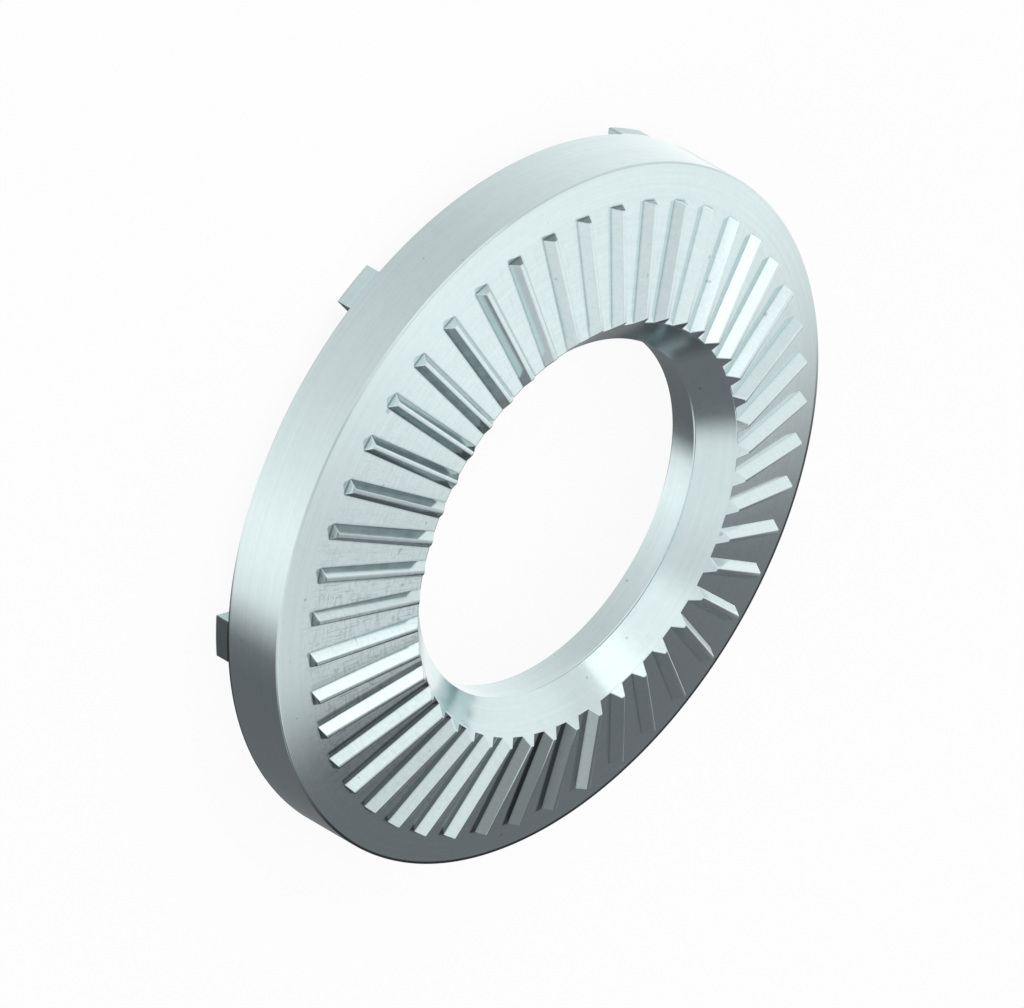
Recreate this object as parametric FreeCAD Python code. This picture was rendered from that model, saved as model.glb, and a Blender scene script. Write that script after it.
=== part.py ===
import FreeCAD, Part
import math
import os

# Pair of dished contact washers for an M12 bolt, nested face to face.
# The upper washer carries raised radial ribs and a countersunk bore, the lower one
# a plain bore and six small feet under its rim. Millimetres, +Z up, origin on the
# axis at the level of the feet.

# Sizes of both washers
outer_d = 25.4           # rim, the same on both so that they lie flush
bore_d = 13.0            # clearance bore for the bolt
dish_deg = 14.3          # slope of every dished face, falling outwards
upper_rise = 1.23        # thickness of the ribbed washer, measured along the axis
lower_rise = 1.10        # thickness of the footed washer, measured along the axis
rim_break = 0.07         # broken outer edges of the pair

# Bore details
countersink_deg = 45.0   # slope of the countersink in the ribbed washer
bore_break = 0.09        # broken edge of the plain bore, under the countersink

# Radial ribs
rib_count = 45
rib_base = 0.58          # width where a rib meets the dished face
rib_crest = 0.14         # width of the narrow flat on top
rib_rise = 0.35          # height above the dished face, along the axis
rib_margin = 1.22        # plain band between the ribs and the rim
rib_first_deg = 3.0      # direction of the first rib

# Feet under the rim
foot_count = 6
foot_w = 1.56            # across the rim
foot_reach = 1.2         # from the rim inwards
foot_drop = 0.57         # below the rim's lower edge
foot_edge = 0.06         # broken lower edge at the rim
foot_first_deg = 15.0    # direction of the first foot

# Construction allowances, which leave no trace on the finished pieces
root_depth = 0.15        # how far a rib or foot reaches into the washer that it grows from
overshoot = 1.0          # how far a cutting tool runs past what it cuts

outer_r = outer_d / 2
bore_r = bore_d / 2
dish = math.tan(math.radians(dish_deg))
sink = math.tan(math.radians(countersink_deg))
axis = FreeCAD.Vector(0, 0, 1)
origin = FreeCAD.Vector(0, 0, 0)


def at(r, z):
    """A point of the section, at radius r and height z."""
    return FreeCAD.Vector(r, 0, z)


def lower_face(r):
    """Height of the hollow underside of the pair."""
    return foot_drop + (outer_r - r) * dish


def meeting_face(r):
    """Height of the face on which the two washers meet."""
    return lower_face(r) + lower_rise


def upper_face(r):
    """Height of the dished land between the ribs."""
    return meeting_face(r) + upper_rise


def turned(points):
    """A closed section, given by its corners, turned once round the axis."""
    face = Part.Face(Part.makePolygon(points + points[:1]))
    return face.revolve(origin, axis, 360)


def mouth_r():
    """Radius at which the countersink opens onto the dished land."""
    return bore_r + upper_rise / (sink + dish)


def bore_tool():
    """The countersink's open space, from the meeting face to above the ribs."""
    foot_z = meeting_face(bore_r)
    top_z = upper_face(bore_r) + rib_rise + overshoot
    top_r = bore_r + (top_z - foot_z) / sink
    return turned([at(0, foot_z), at(bore_r, foot_z), at(top_r, top_z), at(0, top_z)])


def ribbed_disc():
    """The ribbed washer without its ribs."""
    shoulder_r = outer_r - rim_break
    return turned([at(bore_r, meeting_face(bore_r)),
                   at(outer_r, meeting_face(outer_r)),
                   at(outer_r, upper_face(outer_r) - rim_break),
                   at(shoulder_r, upper_face(shoulder_r)),
                   at(mouth_r(), upper_face(mouth_r()))])


def rib():
    """One rib along +X: a ridge that follows the dish, with an upright outer end."""
    end_r = outer_r - rib_margin
    length = end_r - bore_r
    land = upper_face(end_r)
    spread = (rib_base - rib_crest) / 2 / rib_rise
    root_half = rib_base / 2 + root_depth * spread
    crest_half = rib_crest / 2
    section = [FreeCAD.Vector(end_r, -root_half, land - root_depth),
               FreeCAD.Vector(end_r, root_half, land - root_depth),
               FreeCAD.Vector(end_r, crest_half, land + rib_rise),
               FreeCAD.Vector(end_r, -crest_half, land + rib_rise)]
    face = Part.Face(Part.makePolygon(section + section[:1]))
    ridge = face.extrude(FreeCAD.Vector(-length, 0, length * dish))
    return ridge.cut(bore_tool())


def around(piece, count, first_deg):
    """Copies of a piece, evenly spaced round the axis."""
    copies = []
    for index in range(count):
        copy = piece.copy()
        copy.rotate(origin, axis, first_deg + index * 360 / count)
        copies.append(copy)
    return copies


def ribbed_washer():
    whole = ribbed_disc().multiFuse(around(rib(), rib_count, rib_first_deg))
    return whole.removeSplitter()


def footed_disc():
    """The footed washer without its feet."""
    shoulder_r = outer_r - rim_break
    broken_r = bore_r + bore_break
    return turned([at(bore_r, lower_face(bore_r)),
                   at(shoulder_r, lower_face(shoulder_r)),
                   at(outer_r, lower_face(outer_r) + rim_break),
                   at(outer_r, meeting_face(outer_r)),
                   at(broken_r, meeting_face(broken_r)),
                   at(bore_r, meeting_face(bore_r) - bore_break)])


def sole(r):
    """Height of a foot's sole: parallel to the dish, and touching the ground at its toe."""
    return (outer_r - foot_edge - r) * dish


def foot():
    """One foot along +X, flush with the rim."""
    heel_r = outer_r - foot_reach
    toe_r = outer_r - foot_edge
    points = [at(heel_r, sole(heel_r)), at(toe_r, sole(toe_r)),
              at(outer_r, sole(toe_r) + foot_edge),
              at(outer_r, lower_face(outer_r) + root_depth),
              at(heel_r, lower_face(heel_r) + root_depth)]
    ring = turned(points)
    block = Part.makeBox(outer_r + overshoot, foot_w, upper_face(0),
                         FreeCAD.Vector(0, -foot_w / 2, -overshoot))
    return ring.common(block)


def footed_washer():
    whole = footed_disc().multiFuse(around(foot(), foot_count, foot_first_deg))
    return whole.removeSplitter()


def solid_of(shape):
    """The single solid that a piece must be."""
    if len(shape.Solids) != 1:
        raise ValueError("a washer came out as %d solids" % len(shape.Solids))
    return shape.Solids[0]


os.makedirs("parts", exist_ok=True)
pieces = {"ribbed_washer": ribbed_washer(), "footed_washer": footed_washer()}
for name, shape in pieces.items():
    solid = solid_of(shape)
    solid.exportStep("parts/%s.step" % name)
    box = solid.BoundBox
    print("%s: %.1f mm3, %d faces, valid %s, %.2f x %.2f x %.2f mm, z %.3f to %.3f"
          % (name, solid.Volume, len(solid.Faces), solid.isValid(),
             box.XLength, box.YLength, box.ZLength, box.ZMin, box.ZMax))
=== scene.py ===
# %% [markdown]
# # A pair of contact washers
#
# Two dished spring-steel washers lie on a white table, one nested in the other. The
# upper one has 45 raised ribs round a countersunk bore, the lower one stands on six
# small feet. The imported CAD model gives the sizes. This lesson models a finer skin for
# each washer in those sizes, and then the metal, the table, the light and the camera.

# %% Load the frame
import math

import bmesh
import bpy
from mathutils import Matrix, Vector


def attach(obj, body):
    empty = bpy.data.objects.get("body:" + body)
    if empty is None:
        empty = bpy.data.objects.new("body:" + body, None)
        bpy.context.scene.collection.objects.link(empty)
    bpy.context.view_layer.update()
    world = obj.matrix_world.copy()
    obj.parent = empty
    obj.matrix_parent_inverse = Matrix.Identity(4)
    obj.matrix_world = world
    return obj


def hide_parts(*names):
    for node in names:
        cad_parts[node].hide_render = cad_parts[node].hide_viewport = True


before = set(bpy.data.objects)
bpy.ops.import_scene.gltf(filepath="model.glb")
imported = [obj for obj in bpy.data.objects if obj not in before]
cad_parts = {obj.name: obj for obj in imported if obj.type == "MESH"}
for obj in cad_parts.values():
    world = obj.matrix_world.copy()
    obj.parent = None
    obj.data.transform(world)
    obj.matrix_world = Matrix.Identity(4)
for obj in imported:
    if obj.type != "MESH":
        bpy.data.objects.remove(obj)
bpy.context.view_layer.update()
MM = 0.001


# %% [markdown]
# ## The camera
#
# The picture looks down on the pair at about 35 degrees, from far away, and the
# camera is rolled a third of a turn, so that the pair seems to stand on its edge.
# A long lens at one metre gives the same flat perspective. The numbers come from
# laying the rim and the bore over the picture. The camera's three axes are worked out
# first and then written into its matrix, because a roll is easier to read that way
# than as three Euler angles.

# %% Camera
CAMERA_AZIMUTH = math.radians(0.34)
CAMERA_HEIGHT = math.radians(35.27)
CAMERA_ROLL = math.radians(119.80)
CAMERA_DISTANCE = 1000 * MM
CAMERA_AIM = Vector((0, 0, 2.4 * MM))
CAMERA_ASIDE = -0.900 * MM
CAMERA_RAISED = 0.138 * MM
CLIP_NEAR = 0.1
CLIP_FAR = 10.0
SENSOR_WIDTH = 36.0
PICTURE_WIDTH = 1024
FOCAL_PIXELS = 30274

toward = Vector((math.sin(CAMERA_AZIMUTH) * math.cos(CAMERA_HEIGHT),
                 -math.cos(CAMERA_AZIMUTH) * math.cos(CAMERA_HEIGHT),
                 math.sin(CAMERA_HEIGHT)))
level = Vector((math.cos(CAMERA_AZIMUTH), math.sin(CAMERA_AZIMUTH), 0))
upright = toward.cross(level)
right = math.cos(CAMERA_ROLL) * level + math.sin(CAMERA_ROLL) * upright
up = -math.sin(CAMERA_ROLL) * level + math.cos(CAMERA_ROLL) * upright

camera_data = bpy.data.cameras.new("camera")
camera_data.type = "PERSP"
camera_data.sensor_width = SENSOR_WIDTH
camera_data.lens = FOCAL_PIXELS * SENSOR_WIDTH / PICTURE_WIDTH
camera_data.clip_start = CLIP_NEAR
camera_data.clip_end = CLIP_FAR
camera = bpy.data.objects.new("camera", camera_data)
bpy.context.scene.collection.objects.link(camera)
camera.matrix_world = Matrix((
    (right.x, up.x, toward.x, 0),
    (right.y, up.y, toward.y, 0),
    (right.z, up.z, toward.z, 0),
    (0, 0, 0, 1)))
camera.location = (CAMERA_AIM + toward * CAMERA_DISTANCE
                   + right * CAMERA_ASIDE + up * CAMERA_RAISED)
bpy.context.scene.camera = camera
print("camera at", [round(x, 4) for x in camera.location],
      "lens %.0f mm" % camera_data.lens)

# %% [markdown]
# ## The two discs
#
# A real washer of this kind is blanked from coated strip and dished in a press. Both
# discs are round bodies, so each is drawn as half a section and spun once round the
# axis. A lathe-like Screw modifier would do too, but a spin in bmesh leaves plain rings
# of edges that the next step can pick by radius and height. The sizes are those of the
# CAD model, in millimetres, so that each skin lies exactly where its CAD node lies.
# The corners are rounded after the spin, by a bevel on the rings of edges that they
# have become, because a pressed edge is never quite sharp, and its thin round catches
# the light.

# %% Sizes of the pair
# All sizes are in millimetres, as in the CAD source. A rise is measured along the axis.
OUTER_R = 12.7
BORE_R = 6.5
DISH = math.tan(math.radians(14.3))
UPPER_RISE = 1.23
LOWER_RISE = 1.10
FOOT_DROP = 0.57
MOUTH_R = BORE_R + UPPER_RISE / (1 + DISH)


def lower_face(r):
    """Height of the hollow underside at radius r."""
    return FOOT_DROP + (OUTER_R - r) * DISH


def meeting_face(r):
    """Height of the face on which the washers meet."""
    return lower_face(r) + LOWER_RISE


def upper_face(r):
    """Height of the land between the ribs."""
    return meeting_face(r) + UPPER_RISE


def countersink(r):
    """Height of the 45 degree countersink."""
    return meeting_face(BORE_R) + r - BORE_R


print("mouth of the countersink: radius %.2f mm, height %.2f mm"
      % (MOUTH_R, upper_face(MOUTH_R)))

# %% Spin a section, and round a ring of edges
TURN_STEPS = 360
MERGE_DISTANCE = 0.0001
RING_TOLERANCE = 0.002


def spun(section):
    """A disc from the corners of its section, given as radius and height."""
    mesh = bmesh.new()
    corners = [mesh.verts.new((r * MM, 0, z * MM)) for r, z in section]
    lines = [mesh.edges.new((corner, corners[i - 1])) for i, corner in enumerate(corners)]
    bmesh.ops.spin(mesh, geom=corners + lines, cent=(0, 0, 0), axis=(0, 0, 1),
                   angle=math.tau, steps=TURN_STEPS, use_merge=True)
    bmesh.ops.remove_doubles(mesh, verts=mesh.verts, dist=MERGE_DISTANCE * MM)
    bmesh.ops.recalc_face_normals(mesh, faces=mesh.faces)
    return mesh


def round_ring(mesh, r, z, width, segments):
    """Rounds the ring of edges at radius r and height z."""

    def on_ring(vert):
        return (abs(math.hypot(vert.co.x, vert.co.y) - r * MM) < RING_TOLERANCE * MM
                and abs(vert.co.z - z * MM) < RING_TOLERANCE * MM)

    ring = [edge for edge in mesh.edges if all(on_ring(vert) for vert in edge.verts)]
    bmesh.ops.bevel(mesh, geom=ring, offset=width * MM, offset_type="OFFSET",
                    segments=segments, profile=0.5, affect="EDGES", material=-1,
                    clamp_overlap=False)
    print("rounded a ring of", len(ring), "edges at radius %.2f mm" % r)


# %% Both discs
RIM_BREAK = 0.07
RIM_SEGMENTS = 3
MOUTH_BREAK = 0.03
JOINT_BREAK = 0.09
UNDERSIDE_BREAK = 0.04
FINE_SEGMENTS = 2

ribbed = spun([(BORE_R, meeting_face(BORE_R)), (OUTER_R, meeting_face(OUTER_R)),
               (OUTER_R, upper_face(OUTER_R)), (MOUTH_R, upper_face(MOUTH_R))])
round_ring(ribbed, OUTER_R, upper_face(OUTER_R), RIM_BREAK, RIM_SEGMENTS)
round_ring(ribbed, MOUTH_R, upper_face(MOUTH_R), MOUTH_BREAK, FINE_SEGMENTS)

joint_r = BORE_R + JOINT_BREAK
footed = spun([(BORE_R, lower_face(BORE_R)), (OUTER_R, lower_face(OUTER_R)),
               (OUTER_R, meeting_face(OUTER_R)), (joint_r, meeting_face(joint_r)),
               (BORE_R, meeting_face(BORE_R) - JOINT_BREAK)])
round_ring(footed, OUTER_R, lower_face(OUTER_R), RIM_BREAK, RIM_SEGMENTS)
round_ring(footed, BORE_R, lower_face(BORE_R), UNDERSIDE_BREAK, FINE_SEGMENTS)

# %% [markdown]
# ## Ribs and feet
#
# On the real washers the ribs are coined into the top face, and the feet into the rim's
# lower edge. One rib starts as the four corners of its section, is extruded up the
# slope of the dish, and is cut off at 45 degrees where the countersink takes its inner
# end. A bevel rounds its edges by a few hundredths of a millimetre, because that thin
# round is what draws the fine line along each rib. A spin that duplicates then sets all
# 45 round the axis, which is less work than an Array modifier with an empty to turn it.
# A foot is a short piece of a turned ring, so its section is spun through a few degrees.

# %% A bar from its section, and copies round the axis


def prism(corners, path):
    """A closed bar: the section's corners as a face, extruded along a path."""
    mesh = bmesh.new()
    face = mesh.faces.new([mesh.verts.new(Vector(corner) * MM) for corner in corners])
    grown = bmesh.ops.extrude_face_region(mesh, geom=[face])["geom"]
    moved = [item for item in grown if isinstance(item, bmesh.types.BMVert)]
    bmesh.ops.translate(mesh, verts=moved, vec=Vector(path) * MM)
    bmesh.ops.recalc_face_normals(mesh, faces=mesh.faces)
    return mesh


def set_round(mesh, count, first):
    """Copies of what the mesh holds, evenly spaced round the axis."""
    bmesh.ops.rotate(mesh, verts=mesh.verts, cent=(0, 0, 0),
                     matrix=Matrix.Rotation(first, 3, "Z"))
    everything = list(mesh.verts) + list(mesh.edges) + list(mesh.faces)
    bmesh.ops.spin(mesh, geom=everything, cent=(0, 0, 0), axis=(0, 0, 1),
                   angle=math.tau * (count - 1) / count, steps=count - 1,
                   use_duplicate=True)
    print("set round the axis:", count, "copies,", len(mesh.faces), "faces")


def is_closed(mesh):
    """Whether every edge has two faces."""
    return all(edge.is_manifold for edge in mesh.edges)


# %% One rib
RIB_BASE = 0.58
RIB_CREST = 0.14
RIB_RISE = 0.35
RIB_MARGIN = 1.22
ROOT_DEPTH = 0.15

rib_end_r = OUTER_R - RIB_MARGIN
rib_end_z = upper_face(rib_end_r)
rib_length = rib_end_r - BORE_R
flank_run = (RIB_BASE - RIB_CREST) / 2
root_half = RIB_BASE / 2 + ROOT_DEPTH * flank_run / RIB_RISE
crest_half = RIB_CREST / 2
ribs = prism([(rib_end_r, -root_half, rib_end_z - ROOT_DEPTH),
              (rib_end_r, root_half, rib_end_z - ROOT_DEPTH),
              (rib_end_r, crest_half, rib_end_z + RIB_RISE),
              (rib_end_r, -crest_half, rib_end_z + RIB_RISE)],
             (-rib_length, 0, rib_length * DISH))
print("one rib: %.2f mm long, closed:" % rib_length, is_closed(ribs))

# %% Cut off its inner end, round its edges, and set all ribs
RIB_COUNT = 45
RIB_FIRST = math.radians(3.0)
# The cut lies a hair behind the countersink, so that the two never share a plane.
CUT_BEHIND = 0.005
EDGE_ROUND = 0.03

cut = bmesh.ops.bisect_plane(
    ribs, geom=list(ribs.verts) + list(ribs.edges) + list(ribs.faces),
    plane_co=Vector((MOUTH_R + CUT_BEHIND, 0, upper_face(MOUTH_R))) * MM,
    plane_no=(-1, 0, 1), clear_outer=True)["geom_cut"]
cut_edges = [item for item in cut if isinstance(item, bmesh.types.BMEdge)]
bmesh.ops.edgenet_fill(ribs, edges=cut_edges)
bmesh.ops.recalc_face_normals(ribs, faces=ribs.faces)
shown = [edge for edge in ribs.edges
         if max(vert.co.z - upper_face(vert.co.x / MM) * MM for vert in edge.verts) > 0]
bmesh.ops.bevel(ribs, geom=shown, offset=EDGE_ROUND * MM, offset_type="OFFSET",
                segments=FINE_SEGMENTS, profile=0.5, affect="EDGES", material=-1,
                clamp_overlap=False)
print("one cut rib:", len(ribs.faces), "faces, closed:", is_closed(ribs))
set_round(ribs, RIB_COUNT, RIB_FIRST)

# %% One foot, then all of them
FOOT_COUNT = 6
FOOT_W = 1.56
FOOT_REACH = 1.2
FOOT_EDGE = 0.06
FOOT_FIRST = math.radians(15.0)
FOOT_STEPS = 7

heel_r = OUTER_R - FOOT_REACH
toe_r = OUTER_R - FOOT_EDGE
foot_angle = 2 * math.asin(FOOT_W / 2 / OUTER_R)


def sole(r):
    """Height of a foot's sole: parallel to the dish, with its toe on the ground."""
    return (toe_r - r) * DISH


feet = bmesh.new()
section = [(heel_r, sole(heel_r)), (toe_r, 0), (OUTER_R, FOOT_EDGE),
           (OUTER_R, lower_face(OUTER_R) + ROOT_DEPTH),
           (heel_r, lower_face(heel_r) + ROOT_DEPTH)]
side = feet.faces.new([feet.verts.new((r * MM, 0, z * MM)) for r, z in section])
bmesh.ops.spin(feet, geom=[side], cent=(0, 0, 0), axis=(0, 0, 1), angle=foot_angle,
               steps=FOOT_STEPS)
bmesh.ops.recalc_face_normals(feet, faces=feet.faces)
print("one foot:", len(feet.faces), "faces, closed:", is_closed(feet))
set_round(feet, FOOT_COUNT, FOOT_FIRST - foot_angle / 2)

# %% [markdown]
# ## One skin for each washer
#
# On the real piece a rib isn't stuck on, it is the same metal. So a Boolean joins the
# ribs with the disc, and the result is kept as a plain mesh. Faces are smooth, but an
# edge stays sharp where its faces meet at more than 35 degrees, and Weighted Normal
# keeps the broad faces flat beside their thin rounds. On the turned faces the Boolean
# leaves long thin facets, whose averaged normals would show as faint streaks in the
# mirror. The exact normal of a cone or a cylinder is known at every point, so it is
# written there instead.

# %% The exact normals of the turned faces
ON_SURFACE = 0.01
SAME_WAY = 0.999


def true_normals(data):
    """Gives each face of a turned surface that surface's own normals."""
    slope = math.atan(DISH)
    half = math.sqrt(0.5)
    surfaces = [
        (math.sin(slope), math.cos(slope), lambda r, z: z - upper_face(r)),
        (-math.sin(slope), -math.cos(slope), lambda r, z: z - lower_face(r)),
        (-half, half, lambda r, z: z - countersink(r)),
        (1, 0, lambda r, z: r - OUTER_R),
        (-1, 0, lambda r, z: r - BORE_R)]
    normals = [corner.vector.copy() for corner in data.corner_normals]
    turned = 0
    for face in data.polygons:
        middle = face.center / MM
        r = math.hypot(middle.x, middle.y)
        for out, rise, off in surfaces:
            exact = Vector((middle.x * out / r, middle.y * out / r, rise))
            if abs(off(r, middle.z)) < ON_SURFACE and face.normal.dot(exact) > SAME_WAY:
                turned += 1
                for loop in face.loop_indices:
                    spot = data.vertices[data.loops[loop].vertex_index].co
                    radial = Vector((spot.x, spot.y, 0)).normalized()
                    normals[loop] = radial * out + Vector((0, 0, rise))
                break
    data.normals_split_custom_set(normals)
    return turned


print("a turned face has its exact normal within %.2f mm of its surface" % ON_SURFACE)

# %% From a bmesh to an object, and from modifiers to a plain mesh


def as_object(mesh, name):
    """An object at the origin from a bmesh, which is freed."""
    data = bpy.data.meshes.new(name)
    mesh.to_mesh(data)
    mesh.free()
    piece = bpy.data.objects.new(name, data)
    bpy.context.scene.collection.objects.link(piece)
    return piece


def keep_modified(piece):
    """Makes what the modifiers give the piece's own mesh, and clears them."""
    whole = bpy.data.meshes.new_from_object(
        piece.evaluated_get(bpy.context.evaluated_depsgraph_get()))
    piece.modifiers.clear()
    piece.data = whole
    return whole


# %% Join the details with a disc
SHARP = math.radians(35)
WELD_DISTANCE = 0.0002


def joined(disc, details, name):
    """One skin from a disc and its details."""
    piece, extra = as_object(disc, name), as_object(details, name + "_details")
    union = piece.modifiers.new("join", "BOOLEAN")
    union.operation, union.solver, union.object = "UNION", "EXACT", extra
    whole = keep_modified(piece)
    bpy.data.objects.remove(extra)

    mesh = bmesh.new()
    mesh.from_mesh(whole)
    bmesh.ops.remove_doubles(mesh, verts=mesh.verts, dist=WELD_DISTANCE * MM)
    bmesh.ops.dissolve_degenerate(mesh, edges=mesh.edges, dist=WELD_DISTANCE * MM)
    for face in mesh.faces:
        face.smooth = True
    for edge in mesh.edges:
        edge.smooth = len(edge.link_faces) == 2 and edge.calc_face_angle() < SHARP
    print(name, "closed:", is_closed(mesh), "volume %.2f mm3" % (mesh.calc_volume() / MM ** 3))
    mesh.to_mesh(whole)
    mesh.free()

    flat = piece.modifiers.new("broad_faces_flat", "WEIGHTED_NORMAL")
    flat.keep_sharp = True
    shaded = keep_modified(piece)
    print(name, len(shaded.polygons), "faces,", true_normals(shaded), "of them turned")
    return piece


ribbed_skin = joined(ribbed, ribs, "ribbed_washer_skin")
footed_skin = joined(footed, feet, "footed_washer_skin")

# %% Both skins take the place of their CAD nodes
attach(ribbed_skin, "root")
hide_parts("ribbed_washer")
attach(footed_skin, "root")
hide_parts("footed_washer")
print("skins on the body root:", ribbed_skin.name, "and", footed_skin.name)

# %% [markdown]
# ## Node helpers
#
# Every finish is a small tree of nodes. One function adds a node with its settings
# and its links, and one turns a screen colour into the linear numbers that the
# shader wants.

# %% Helpers for materials


def linear(hex_colour):
    """An sRGB colour such as "D8DEE0" as linear red, green, blue and alpha."""
    shares = [int(hex_colour[i:i + 2], 16) / 255 for i in (0, 2, 4)]
    return [c / 12.92 if c <= 0.04045 else ((c + 0.055) / 1.055) ** 2.4
            for c in shares] + [1.0]


def add(tree, kind, settings=None, **inputs):
    """Adds a node. Settings are its properties, inputs its sockets' values or links.

    An input is named as its socket is, with _ for a space, or i0, i1 by its number.
    """
    node = tree.nodes.new(kind)
    for name, value in (settings or {}).items():
        setattr(node, name, value)
    for name, value in inputs.items():
        numbered = name[0] == "i" and name[1:].isdigit()
        key = int(name[1:]) if numbered else name.replace("_", " ")
        if isinstance(value, bpy.types.NodeSocket):
            tree.links.new(value, node.inputs[key])
        else:
            node.inputs[key].default_value = value
    return node


def new_material(name):
    """An empty material and its tree."""
    material = bpy.data.materials.new(name)
    material.use_nodes = True
    material.node_tree.nodes.clear()
    return material, material.node_tree


print("middle grey on the screen is", [round(c, 3) for c in linear("808080")[:3]], "linear")

# %% [markdown]
# ## The metal
#
# The real washers are spring steel under a thin zinc coat, blanked and coined: pale,
# slightly blue and satin. Light slides over them in soft patches, and the grain is only
# just visible. Shade is also painted into the colour where things are: dark lines in
# the ribs' feet and along the sheared edges, and darker flanks, end faces, mouth, crest
# rounds and land on some sides of the washer. Hairlines in the land between the ribs are
# wear. A picture could be wrapped round the piece for that, but masks worked out from the
# place and the slope of the surface stay sharp at any distance and sit on the washer from
# every side.

# %% Where a point of the metal is, and which way it faces
metal, tree = new_material("zinc_coated_spring_steel")
place = add(tree, "ShaderNodeTexCoord").outputs["Object"]
facing = add(tree, "ShaderNodeNewGeometry").outputs["True Normal"]
split = add(tree, "ShaderNodeSeparateXYZ", Vector=place)
height = split.outputs["Z"]
flat_place = add(tree, "ShaderNodeCombineXYZ", X=split.outputs["X"], Y=split.outputs["Y"],
                 Z=0.0).outputs[0]
radius = add(tree, "ShaderNodeVectorMath", {"operation": "LENGTH"},
             i0=flat_place).outputs["Value"]
outward = add(tree, "ShaderNodeVectorMath", {"operation": "NORMALIZE"},
              i0=flat_place).outputs[0]
around = add(tree, "ShaderNodeVectorMath", {"operation": "CROSS_PRODUCT"},
             i0=(0, 0, 1), i1=outward).outputs[0]
faces_out = add(tree, "ShaderNodeVectorMath", {"operation": "DOT_PRODUCT"},
                i0=facing, i1=outward).outputs["Value"]
faces_round = add(tree, "ShaderNodeVectorMath", {"operation": "DOT_PRODUCT"},
                  i0=facing, i1=around).outputs["Value"]
tilt_round = add(tree, "ShaderNodeMath", {"operation": "ABSOLUTE"},
                 i0=faces_round).outputs[0]
bearing = add(tree, "ShaderNodeMath", {"operation": "ARCTAN2"}, i0=split.outputs["Y"],
              i1=split.outputs["X"]).outputs[0]
above_dish = add(tree, "ShaderNodeMath", {"operation": "MULTIPLY_ADD"},
                 i0=radius, i1=DISH, i2=height).outputs[0]
print(len(tree.nodes), "nodes say where a point is")

# %% [markdown]
# The ribs stand at even steps, so the distance from the nearest rib's middle line
# needs no picture either. The bearing is wrapped to one step and multiplied by the
# radius.

# %% How far a point is from the nearest rib's middle line
from_first = add(tree, "ShaderNodeMath", {"operation": "SUBTRACT"}, i0=bearing,
                 i1=RIB_FIRST).outputs[0]
from_nearest = add(tree, "ShaderNodeMath", {"operation": "WRAP"}, i0=from_first,
                   i1=math.pi / RIB_COUNT, i2=-math.pi / RIB_COUNT).outputs[0]
beside_rib = add(tree, "ShaderNodeMath", {"operation": "MULTIPLY"}, i0=from_nearest,
                 i1=radius).outputs[0]
print("a rib every", 360 / RIB_COUNT, "degrees")

# %% [markdown]
# Painted shade, and the hairlines of wear, are never the same all round. Each kind is
# drawn in one sector of the washer, given by the bearing of its middle, the angle to
# either side within which it is full, and the angle at which it is gone. Bearing 0 lies
# along X and 90 along Y. A dot product with the sector's heading gives the cosine of the
# angle between them, so a Map Range on cosines fades it out without a seam at 180 degrees.

# %% Sectors round the axis
# Each row: the middle, full up to here, and gone from here, in degrees
SECTORS = {
    # Every sector but the hairlines places painted shade.
    "shaded flanks ahead": (276, 26, 33),
    "shaded flanks behind": (265, 9, 19),
    "two shaded ribs": (31, 7, 13),
    "dark end faces": (325, 30, 48),
    "darkest end faces": (222, 13, 23),
    "dark mouth": (186, 9, 20),
    "dark rim edge": (58, 62, 85),
    "dark lower edge": (347, 35, 50),
    "soft rim edge": (235, 45, 65),
    "dark crest rounds": (312, 24, 40),
    "less shade in rib feet": (135, 46, 66),
    "hairlines": (326, 20, 42),
    "unlit land": (5, 31, 49),
}
sector = {}
for name, (middle, full, gone) in SECTORS.items():
    angle = math.radians(middle)
    nearness = add(tree, "ShaderNodeVectorMath", {"operation": "DOT_PRODUCT"},
                   i0=outward, i1=(math.cos(angle), math.sin(angle), 0))
    sector[name] = add(tree, "ShaderNodeMapRange", {"interpolation_type": "SMOOTHSTEP"},
                       Value=nearness.outputs["Value"],
                       From_Min=math.cos(math.radians(gone)),
                       From_Max=math.cos(math.radians(full))).outputs["Result"]
print(len(sector), "sectors round the axis")

# %% [markdown]
# The next masks say on which face or band a point lies. Each of them rises from 0 to 1
# between two values of one number, such as the radius in millimetres or the share of
# the normal that points outwards. The land's normal points out by 0.25, the
# countersink's by -0.71 and an upright end face's by 1. A rib's flanks face round the
# axis by 0.85, one of them ahead (anticlockwise seen from above), the other behind.

# %% Faces and bands
dish_mark = upper_face(OUTER_R) + OUTER_R * DISH
rib_foot = RIB_BASE / 2
# Each row: the number, where the mask is 0, where it is 1, and the unit
BANDS = {
    # Which face, by its slope
    "ahead": (faces_round, 0.6, 0.8, 1),
    "behind": (faces_round, -0.6, -0.8, 1),
    "upright": (faces_out, 0.8, 0.95, 1),
    "not the rim": (faces_out, 0.98, 0.9, 1),
    "countersink": (faces_out, -0.6, -0.68, 1),
    "facing out": (faces_out, 0.0, 0.1, 1),
    "not a flank": (tilt_round, 0.72, 0.6, 1),
    "land": (tilt_round, 0.1, 0.05, 1),
    # Which band, by its place in mm
    "inside the rim": (radius, 12.0, 11.6, MM),
    "rim round": (radius, 12.61, 12.65, MM),
    "lowest rim": (height, 0.70, 0.65, MM),
    "rib top": (above_dish, dish_mark + 0.26, dish_mark + 0.30, MM),
    "among the ribs": (radius, rib_end_r + 0.05, rib_end_r - 0.05, MM),
    "past the mouth": (radius, 7.4, 7.7, MM),
    "short of the rim": (radius, 12.0, 11.2, MM),
    "near the rib": (beside_rib, -rib_foot - 0.33, -rib_foot - 0.22, MM),
    "behind the rib": (beside_rib, 0.0, -RIB_CREST, MM),
    "feet": (height, 0.58, 0.54, MM),
}
band = {}
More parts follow.
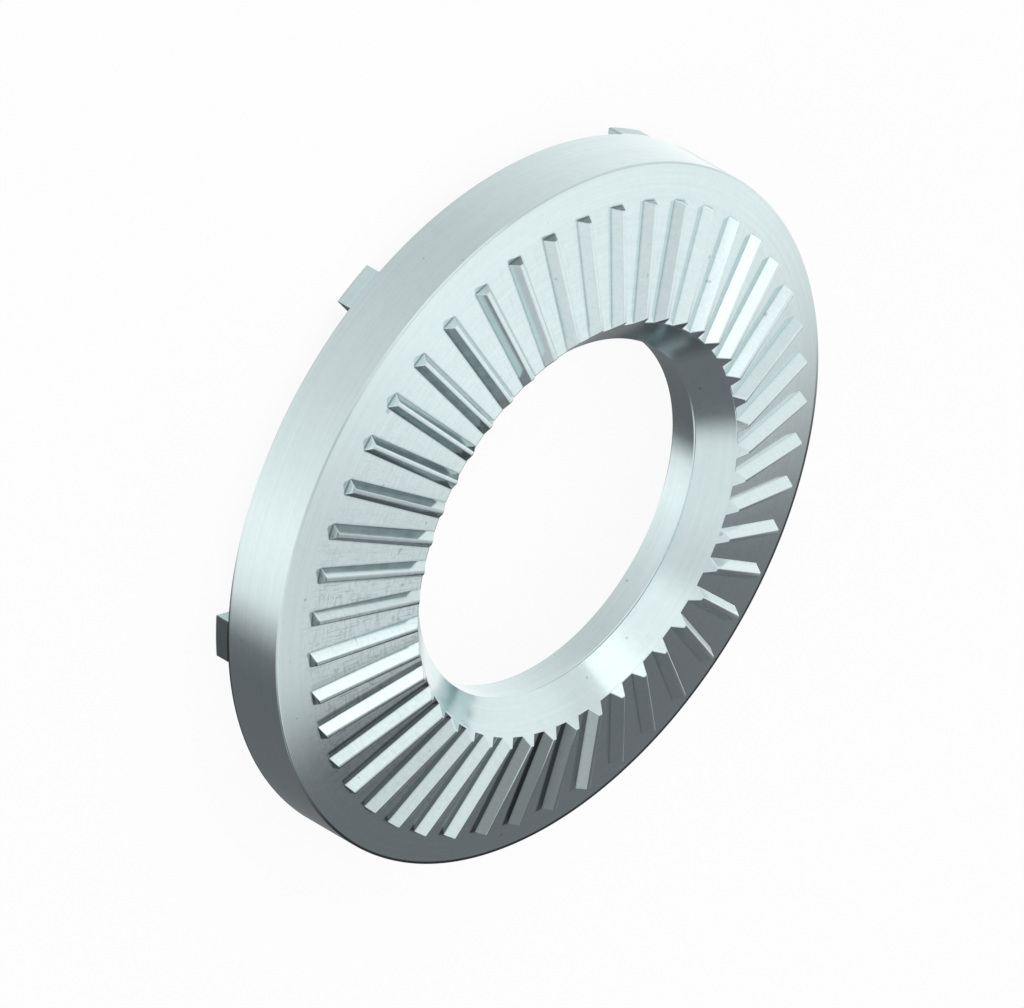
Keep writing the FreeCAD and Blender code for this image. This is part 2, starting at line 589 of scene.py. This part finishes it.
for name, (value, start, full, unit) in BANDS.items():
    band[name] = add(tree, "ShaderNodeMapRange", Value=value, From_Min=start * unit,
                     From_Max=full * unit).outputs["Result"]
print(len(band), "faces and bands")

# %% [markdown]
# Three masks need more than that. The painted shade line in a rib's foot lies where the
# surface sinks into a crease, which the ambient occlusion node measures within 0.09 mm,
# about three pixels of the picture. The painted dark line on the rim's edge grows wider
# from one side of the washer to the other. And the painted shade on the flanks is made
# uneven, in patches of about 0.4 mm.

# %% Crease shade, the rim's edge line and patchy shade, all painted
HOLLOW_REACH = 0.09
HOLLOW_SAMPLES = 3
HOLLOW_NONE = 0.97
HOLLOW_FULL = 0.78
FOOT_SHADE_LEFT_IN_SECTOR = 0.4
EDGE_LINE_NARROW = 12.60
EDGE_LINE_WIDE = 12.46
EDGE_LINE_FADE = 0.03
SHADE_PATCH_SIZE = 0.4
SHADE_PATCH_DEEPEST = 1.15
SHADE_PATCH_FAINTEST = 0.85
# A noise keeps mostly between these two values.
NOISE_LOW = 0.3
NOISE_HIGH = 0.7

occlusion = add(tree, "ShaderNodeAmbientOcclusion",
                {"samples": HOLLOW_SAMPLES, "only_local": True},
                Distance=HOLLOW_REACH * MM)
# Painted shade in the creases at the ribs' feet, with less of it in one sector.
crease_shade = add(tree, "ShaderNodeMapRange", {"interpolation_type": "SMOOTHSTEP"},
             Value=occlusion.outputs["AO"], From_Min=HOLLOW_NONE,
             From_Max=HOLLOW_FULL).outputs["Result"]
foot_shade = add(tree, "ShaderNodeMapRange", Value=sector["less shade in rib feet"], To_Min=1.0,
                To_Max=FOOT_SHADE_LEFT_IN_SECTOR).outputs["Result"]
toward_far_side = add(tree, "ShaderNodeSeparateXYZ", Vector=outward).outputs["Y"]
line_start = add(tree, "ShaderNodeMapRange", Value=toward_far_side, From_Min=0.0,
                 From_Max=1.0, To_Min=EDGE_LINE_NARROW * MM,
                 To_Max=EDGE_LINE_WIDE * MM).outputs["Result"]
line_full = add(tree, "ShaderNodeMath", {"operation": "ADD"}, i0=line_start,
                i1=EDGE_LINE_FADE * MM).outputs[0]
# A painted dark line along the rim's edge.
rim_edge_shade = add(tree, "ShaderNodeMapRange", Value=radius, From_Min=line_start,
                From_Max=line_full).outputs["Result"]
patches = add(tree, "ShaderNodeTexNoise", Vector=place, Scale=1 / (SHADE_PATCH_SIZE * MM),
              Detail=3.0)
# Patches that make the painted shade on the flanks uneven.
patchy_shade = add(tree, "ShaderNodeMapRange", Value=patches.outputs["Fac"],
             From_Min=NOISE_LOW, From_Max=NOISE_HIGH, To_Min=SHADE_PATCH_DEEPEST,
             To_Max=SHADE_PATCH_FAINTEST).outputs["Result"]
print("hollows within", HOLLOW_REACH, "mm, patches of", SHADE_PATCH_SIZE, "mm")

# %% [markdown]
# Now each kind of painted shade says how much light it takes from the metal's colour,
# and where. The share that is left is one minus this depth times all its masks, and all
# shares together are multiplied with the metal's colour at the end. The unlit land is a
# special case: in front of the lowest ribs a plain mirror would repeat their bright
# flanks, so painted shade darkens the land there.

# %% How much of the metal's colour the painted shade keeps
# Each row is painted shade: its depth, and the masks that place it.
PAINTED_SHADES = {
    "rib foot line": (0.52, [crease_shade, foot_shade]),
    "flanks ahead": (0.52, [band["ahead"], sector["shaded flanks ahead"], patchy_shade]),
    "flanks behind": (0.27, [band["behind"], sector["shaded flanks behind"], patchy_shade]),
    "two ribs' flanks": (0.6, [band["behind"], sector["two shaded ribs"]]),
    "end faces": (0.55, [band["upright"], band["inside the rim"],
                         sector["dark end faces"]]),
    "darkest end faces": (0.6, [band["upright"], band["inside the rim"],
                                sector["darkest end faces"]]),
    "mouth": (0.5, [band["countersink"], sector["dark mouth"]]),
    "rim edge": (0.85, [rim_edge_shade, band["not the rim"], sector["dark rim edge"]]),
    "lower edge": (0.8, [band["lowest rim"], band["rim round"],
                         sector["dark lower edge"]]),
    "soft rim edge": (0.16, [band["rim round"], band["not the rim"],
                             sector["soft rim edge"]]),
    "unlit land": (0.8, [band["near the rib"], band["behind the rib"], band["land"],
                         band["facing out"], band["among the ribs"],
                         sector["unlit land"]]),
    "crest rounds": (0.42, [band["rib top"], band["inside the rim"],
                            band["not a flank"], sector["dark crest rounds"]]),
}
# Painted shade first, then the hairlines, marks and specks, scale the metal's colour.
shade_and_marks = 1.0
for name, (depth, masks) in PAINTED_SHADES.items():
    share = depth
    for mask in masks:
        share = add(tree, "ShaderNodeMath", {"operation": "MULTIPLY"}, i0=mask,
                    i1=share).outputs[0]
    kept = add(tree, "ShaderNodeMath", {"operation": "SUBTRACT", "use_clamp": True},
               i0=1.0, i1=share).outputs[0]
    shade_and_marks = add(tree, "ShaderNodeMath", {"operation": "MULTIPLY"}, i0=kept,
                      i1=shade_and_marks).outputs[0]
print(len(PAINTED_SHADES), "kinds of dark places,", len(tree.nodes), "nodes so far")

# %% [markdown]
# Handling and sorting leave hairlines in the soft coat of the land. Real ones are
# about a hundredth of a millimetre wide. A pixel of the picture is 0.033 mm, so they
# are drawn two to five pixels wide, or they wouldn't show. A noise that is stretched
# along the radius gives the long ones, one that is stretched round the axis gives the
# cross ones, and a plain one gives short nicks. They are strongest in one sector and
# fade towards the mouth and the rim.

# %% Hairlines
MIDDLE_R = 9.5
# Each row: size along the radius and round the axis in mm, and depth
HAIRLINES = ((0.9, 0.08, 0.3), (0.09, 0.7, 0.26), (0.16, 0.16, 0.25))
HAIRLINE_STEP = 0.5
HAIRLINE_DARK = 0.32
HAIRLINE_CLEAR = 0.46

along_arc = add(tree, "ShaderNodeMath", {"operation": "MULTIPLY"}, i0=bearing,
                i1=MIDDLE_R * MM).outputs[0]
unrolled = add(tree, "ShaderNodeCombineXYZ", X=radius, Y=along_arc, Z=height).outputs[0]
lines = 1.0
for along_radius, round_axis, depth in HAIRLINES:
    stretched = add(tree, "ShaderNodeMapping", {"vector_type": "POINT"}, Vector=unrolled,
                    Scale=(1 / (along_radius * MM), 1 / (round_axis * MM),
                           1 / (HAIRLINE_STEP * MM)))
    scratch = add(tree, "ShaderNodeTexNoise", Vector=stretched.outputs[0], Scale=1.0,
                  Detail=2.0, Roughness=0.5, Distortion=0.6)
    left = add(tree, "ShaderNodeMapRange", Value=scratch.outputs["Fac"],
               From_Min=HAIRLINE_DARK, From_Max=HAIRLINE_CLEAR, To_Min=1 - depth,
               To_Max=1.0).outputs["Result"]
    lines = add(tree, "ShaderNodeMath", {"operation": "MULTIPLY"}, i0=left,
                i1=lines).outputs[0]
print(len(HAIRLINES), "kinds of hairlines, the finest drawn",
      min(min(row[:2]) for row in HAIRLINES), "mm wide")

# %% Where the hairlines lie
PATCH_SIZE = 3.0
PATCH_NONE = 0.35
PATCH_FULL = 0.6
LEAST_PATCH = 0.35
LEAST_OFF_LAND = 0.3
LEAST_ELSEWHERE = 0.18

handled = add(tree, "ShaderNodeTexNoise", Vector=place, Scale=1 / (PATCH_SIZE * MM),
              Detail=2.0)
patch = add(tree, "ShaderNodeMapRange", Value=handled.outputs["Fac"],
            From_Min=PATCH_NONE, From_Max=PATCH_FULL, To_Min=LEAST_PATCH
            ).outputs["Result"]
on_land = add(tree, "ShaderNodeMapRange", Value=band["land"],
              To_Min=LEAST_OFF_LAND).outputs["Result"]
in_sector = add(tree, "ShaderNodeMapRange", Value=sector["hairlines"],
                To_Min=LEAST_ELSEWHERE).outputs["Result"]
scratched = band["past the mouth"]
for mask in (band["short of the rim"], patch, on_land, in_sector):
    scratched = add(tree, "ShaderNodeMath", {"operation": "MULTIPLY"}, i0=scratched,
                    i1=mask).outputs[0]
hairlines = add(tree, "ShaderNodeMix", {"data_type": "FLOAT"}, i0=scratched, i2=1.0,
                i3=lines).outputs[0]
print("hairlines in patches of", PATCH_SIZE, "mm")

# %% [markdown]
# The rim and the bore show faint marks all the way round, from the tool that sheared
# them: lines 0.12 mm apart and several millimetres long, up to three hundredths darker
# or lighter. Real ones are finer, and are drawn this coarse so that they show.
# Here and there a speck of dust sits in the coat.

# %% Marks round the axis, and specks
MARK_STEP = 0.12
MARK_LENGTH = 6.0
MARK_DARK = 0.97
MARK_LIGHT = 1.02
SPECK_SIZE = 0.35
SPECK_EDGE = 0.225
SPECK_MIDDLE = 0.20
SPECK_SHARE = 0.75

turning = add(tree, "ShaderNodeMapping", {"vector_type": "POINT"}, Vector=unrolled,
              Scale=(1 / (MARK_STEP * MM), 1 / (MARK_LENGTH * MM), 1 / (MARK_STEP * MM)))
rings = add(tree, "ShaderNodeTexNoise", Vector=turning.outputs[0], Scale=1.0, Detail=3.0)
marks = add(tree, "ShaderNodeMapRange", Value=rings.outputs["Fac"],
            From_Min=NOISE_LOW, From_Max=NOISE_HIGH, To_Min=MARK_DARK,
            To_Max=MARK_LIGHT).outputs["Result"]
dust = add(tree, "ShaderNodeTexNoise", Vector=place, Scale=1 / (SPECK_SIZE * MM),
           Detail=1.0)
specks = add(tree, "ShaderNodeMapRange", Value=dust.outputs["Fac"], From_Min=SPECK_EDGE,
             From_Max=SPECK_MIDDLE, To_Min=1.0, To_Max=SPECK_SHARE).outputs["Result"]
for finish in (hairlines, marks, specks):
    shade_and_marks = add(tree, "ShaderNodeMath", {"operation": "MULTIPLY"}, i0=shade_and_marks,
                      i1=finish).outputs[0]
print("marks", MARK_STEP, "mm apart, specks in cells of", SPECK_SIZE, "mm")

# %% [markdown]
# A zinc coat grows in crystals of a few hundredths of a millimetre. They are drawn as
# a grain of 0.25 mm, which gives the eye three things: a tone that wavers between two
# pale blue greys, a satin gloss that wavers too, and a relief of half a thousandth of
# a millimetre. The feet are sheared through to bare steel, so they are much duller.
# The metal is fully metallic and keeps the default IOR.

# %% Colour, grain and gloss
GRAIN_SIZE = 0.25
COAT_DARK = "CFDEDF"
COAT_LIGHT = "D9E8E9"
RELIEF_DEPTH = 0.01
RELIEF_STRENGTH = 0.05
GLOSS_SMOOTH = 0.11
GLOSS_SATIN = 0.16
GLOSS_SHEARED = 0.75

grain = add(tree, "ShaderNodeTexNoise", {"noise_dimensions": "3D"}, Vector=place,
            Scale=1 / (GRAIN_SIZE * MM), Detail=4.0, Roughness=0.6).outputs["Fac"]
relief = add(tree, "ShaderNodeBump", Strength=RELIEF_STRENGTH,
             Distance=RELIEF_DEPTH * MM, Height=grain)
coat = add(tree, "ShaderNodeMix", {"data_type": "RGBA"}, i0=grain, i6=linear(COAT_DARK),
           i7=linear(COAT_LIGHT))
# The coat's colour times the painted shade and the hairlines, marks and specks.
shaded_marked_coat = add(tree, "ShaderNodeVectorMath", {"operation": "SCALE"}, i0=coat.outputs[2],
           Scale=shade_and_marks)
satin = add(tree, "ShaderNodeMapRange", Value=grain, To_Min=GLOSS_SMOOTH,
            To_Max=GLOSS_SATIN)
gloss = add(tree, "ShaderNodeMix", {"data_type": "FLOAT"}, i0=band["feet"],
            i2=satin.outputs["Result"], i3=GLOSS_SHEARED)
shader = add(tree, "ShaderNodeBsdfPrincipled", Base_Color=shaded_marked_coat.outputs[0], Metallic=1.0,
             Roughness=gloss.outputs[0], Normal=relief.outputs["Normal"])
add(tree, "ShaderNodeOutputMaterial", Surface=shader.outputs["BSDF"])
for washer in (ribbed_skin, footed_skin):
    washer.data.materials.clear()
    washer.data.materials.append(metal)
print("metal:", len(tree.nodes), "nodes")

# %% [markdown]
# ## The table
#
# The pair stands on a sheet of white paper, which runs far beyond the picture. A grid
# of one cell makes it. To the camera the paper glows a little, so that it stays white
# while its matt share still takes the washers' faint shadow. The metal doesn't mirror
# it: glossy rays pass through, and the metal shows the studio round it instead, because
# the picture's rim and bore mirror a dark side of the studio below the horizon too.
# The paper is matt and bleached. At this distance its fibres don't show.

# %% White paper
PAPER_HALF = 2.0
PAPER_WHITE = "F7F7F7"
FULL_WHITE = "FFFFFF"
GLOW_SHARE = 0.92

sheet_mesh = bmesh.new()
bmesh.ops.create_grid(sheet_mesh, x_segments=1, y_segments=1, size=PAPER_HALF)
table = as_object(sheet_mesh, "table")
paper, tree = new_material("white_table_paper")
rays = add(tree, "ShaderNodeLightPath").outputs
matt = add(tree, "ShaderNodeBsdfDiffuse", Color=linear(PAPER_WHITE))
glow = add(tree, "ShaderNodeEmission", Color=linear(FULL_WHITE), Strength=1.0)
clear = add(tree, "ShaderNodeBsdfTransparent")
seen = add(tree, "ShaderNodeMath", {"operation": "MAXIMUM"}, i0=rays["Is Camera Ray"],
           i1=rays["Is Transmission Ray"])
glow_share = add(tree, "ShaderNodeMath", {"operation": "MULTIPLY"}, i0=seen.outputs[0],
                 i1=GLOW_SHARE)
sheet = add(tree, "ShaderNodeMixShader", i0=glow_share.outputs[0], i1=matt.outputs[0],
            i2=glow.outputs[0])
passed = add(tree, "ShaderNodeMixShader", i0=rays["Is Glossy Ray"], i1=sheet.outputs[0],
             i2=clear.outputs[0])
add(tree, "ShaderNodeOutputMaterial", Surface=passed.outputs[0])
table.data.materials.append(paper)
print("paper:", 2 * PAPER_HALF, "m square")

# %% [markdown]
# ## The studio round the washers
#
# Polished metal has hardly a colour of its own, it shows the room. So the room is drawn
# as the world: pale walls, a dark corner on the right, and a ceiling that is brighter
# on the left. A ramp runs round the horizon for the walls, another one for what lies
# below them, and a third one goes across the ceiling. Each stop is a bearing in degrees,
# with 0 along X and 90 along Y, or a place across the ceiling, and a grey. The greys
# were set from render to render: a face of the washers shows the one direction
# that it mirrors, so where a face came out too dark, the room was made lighter there.
# The dark corner is a little blue. The camera and anything seen through glass get
# plain white.

# %% The room's greys
# Bearing in degrees, and grey
WALLS = [
    (-180, .92), (-163, .82), (-145, .92), (-106, .95), (-80, .85), (-50, .92), (-33, .90),
    (-20, .80), (-7, .58), (3, .30), (11, .165), (50, .165), (88, .17), (93, .20),
    (95, .30), (97, .46), (98.6, .59), (100.4, .73), (103, .85), (108, .98),
    (118, 1.0), (134, .95), (150, .96), (180, .93)]
BELOW = [
    (-180, .8), (-150, .68), (-130, .68), (-90, .78), (-65, .92), (-44, 1.08), (-30, 1.02),
    (-20, .9), (-12, .5), (-4, .18), (8, .14), (60, .15), (85, .2), (94, .58),
    (102, 1.0), (120, 1.0), (150, .94), (180, .8)]
# Place across the ceiling, from -1 at -X to 1 at X, and grey
CEILING = [
    (-1.0, .8), (-0.68, .82), (-0.4, .98), (-0.1, 1.03), (0.0, .9), (0.12, .75),
    (0.28, .77), (0.5, .86), (1.0, .86)]
print("greys from", min(grey for stop, grey in WALLS + BELOW + CEILING), "to",
      max(grey for stop, grey in WALLS + BELOW + CEILING))

# %% The three ramps
DARK_GREY = 0.4
DARK_BLUE = 1.05

world = bpy.data.worlds.new("studio")
bpy.context.scene.world = world
world.use_nodes = True
tree = world.node_tree
tree.nodes.clear()
direction = add(tree, "ShaderNodeTexCoord").outputs["Generated"]
heading = add(tree, "ShaderNodeSeparateXYZ", Vector=direction).outputs
horizon = add(tree, "ShaderNodeMath", {"operation": "ARCTAN2"}, i0=heading["Y"],
              i1=heading["X"]).outputs[0]
drawn = {}
for name, value, reach, unit, stops in (
        ("walls", horizon, math.pi, math.radians(1), WALLS),
        ("below", horizon, math.pi, math.radians(1), BELOW),
        ("ceiling", heading["X"], 1.0, 1.0, CEILING)):
    along = add(tree, "ShaderNodeMapRange", Value=value, From_Min=-reach, From_Max=reach)
    ramp = add(tree, "ShaderNodeValToRGB", Fac=along.outputs["Result"])
    elements = ramp.color_ramp.elements
    while len(elements) < len(stops):
        elements.new(1.0)
    for element, (stop, grey) in zip(elements, stops):
        element.position = (stop * unit + reach) / (2 * reach)
    for element, (stop, grey) in zip(elements, stops):
        blue = grey * (DARK_BLUE if grey < DARK_GREY else 1.0)
        element.color = (grey, grey, blue, 1.0)
    drawn[name] = ramp.outputs["Color"]
    print(name, "ramp:", len(elements), "stops")

# %% [markdown]
# The three ramps are blended by height. What lies below turns into the walls between
# 24 degrees under the horizon and the horizon. The walls turn into the ceiling along
# a line that lies higher on the far side. A small grey opening in the dark corner is
# what one rib at the bottom mirrors.

# %% Blend the room, and light the scene with it
ROOM_STRENGTH = 1.1
BELOW_ENDS = -0.4
WALLS_START = 0.0
WALLS_END = 0.44
CEILING_STARTS = 0.64
CEILING_TILT = -0.28
OPENING_BEARING = math.radians(15)
OPENING_RISE = 0.11
OPENING_HALF = math.radians(4.5)
OPENING_FADE = math.radians(7.5)
OPENING_GREY = 0.5

above_floor = add(tree, "ShaderNodeMapRange", {"interpolation_type": "SMOOTHSTEP"},
                  Value=heading["Z"], From_Min=BELOW_ENDS, From_Max=WALLS_START)
tilted = add(tree, "ShaderNodeMath", {"operation": "MULTIPLY_ADD"}, i0=heading["Y"],
             i1=CEILING_TILT, i2=heading["Z"])
overhead = add(tree, "ShaderNodeMapRange", {"interpolation_type": "SMOOTHSTEP"},
               Value=tilted.outputs[0], From_Min=WALLS_END, From_Max=CEILING_STARTS)
sides = add(tree, "ShaderNodeMix", {"data_type": "RGBA"}, i0=above_floor.outputs["Result"],
            i6=drawn["below"], i7=drawn["walls"])
room = add(tree, "ShaderNodeMix", {"data_type": "RGBA"}, i0=overhead.outputs["Result"],
           i6=sides.outputs[2], i7=drawn["ceiling"])
opening = Vector((math.cos(OPENING_BEARING), math.sin(OPENING_BEARING), OPENING_RISE))
nearness = add(tree, "ShaderNodeVectorMath", {"operation": "DOT_PRODUCT"}, i0=direction,
               i1=opening.normalized())
in_opening = add(tree, "ShaderNodeMapRange", Value=nearness.outputs["Value"],
                 From_Min=math.cos(OPENING_FADE), From_Max=math.cos(OPENING_HALF))
lit_room = add(tree, "ShaderNodeMix", {"data_type": "RGBA"},
               i0=in_opening.outputs["Result"], i6=room.outputs[2],
               i7=(OPENING_GREY, OPENING_GREY, OPENING_GREY, 1.0))
studio = add(tree, "ShaderNodeBackground", Color=lit_room.outputs[2],
             Strength=ROOM_STRENGTH)
white = add(tree, "ShaderNodeBackground", Color=linear(FULL_WHITE), Strength=1.0)
rays = add(tree, "ShaderNodeLightPath").outputs
seen = add(tree, "ShaderNodeMath", {"operation": "MAXIMUM"}, i0=rays["Is Camera Ray"],
           i1=rays["Is Transmission Ray"])
backdrop = add(tree, "ShaderNodeMixShader", i0=seen.outputs[0], i1=studio.outputs[0],
               i2=white.outputs[0])
add(tree, "ShaderNodeOutputWorld", Surface=backdrop.outputs[0])
print("studio:", len(tree.nodes), "nodes")

# %% [markdown]
# ## The lamp
#
# One soft box hangs on the near left. It is what the white ribs show, three at the
# upper right and three at the lower left, and its power is worked out from its size,
# so that it adds an even grey to what the room shows there.

# %% Soft box
BOX_DISTANCE = 0.4
BOX_WIDTH = 0.29
BOX_HEIGHT = 0.21
BOX_GREY = 0.5
toward_box = Vector((-0.58, -0.56, 0.59)).normalized()

box_data = bpy.data.lights.new("soft_box", "AREA")
box_data.shape = "RECTANGLE"
box_data.size = BOX_WIDTH
box_data.size_y = BOX_HEIGHT
box_data.energy = math.pi * BOX_WIDTH * BOX_HEIGHT * BOX_GREY
soft_box = bpy.data.objects.new("soft_box", box_data)
bpy.context.scene.collection.objects.link(soft_box)
soft_box.location = toward_box * BOX_DISTANCE
soft_box.rotation_euler = toward_box.to_track_quat("Z", "Y").to_euler()
print("soft box: %.3f W" % box_data.energy)

# %% [markdown]
# ## The picture's settings, and the end
#
# The plain view transform leaves the colours as they were written.

# %% Settings
bpy.context.scene.view_settings.view_transform = "Standard"
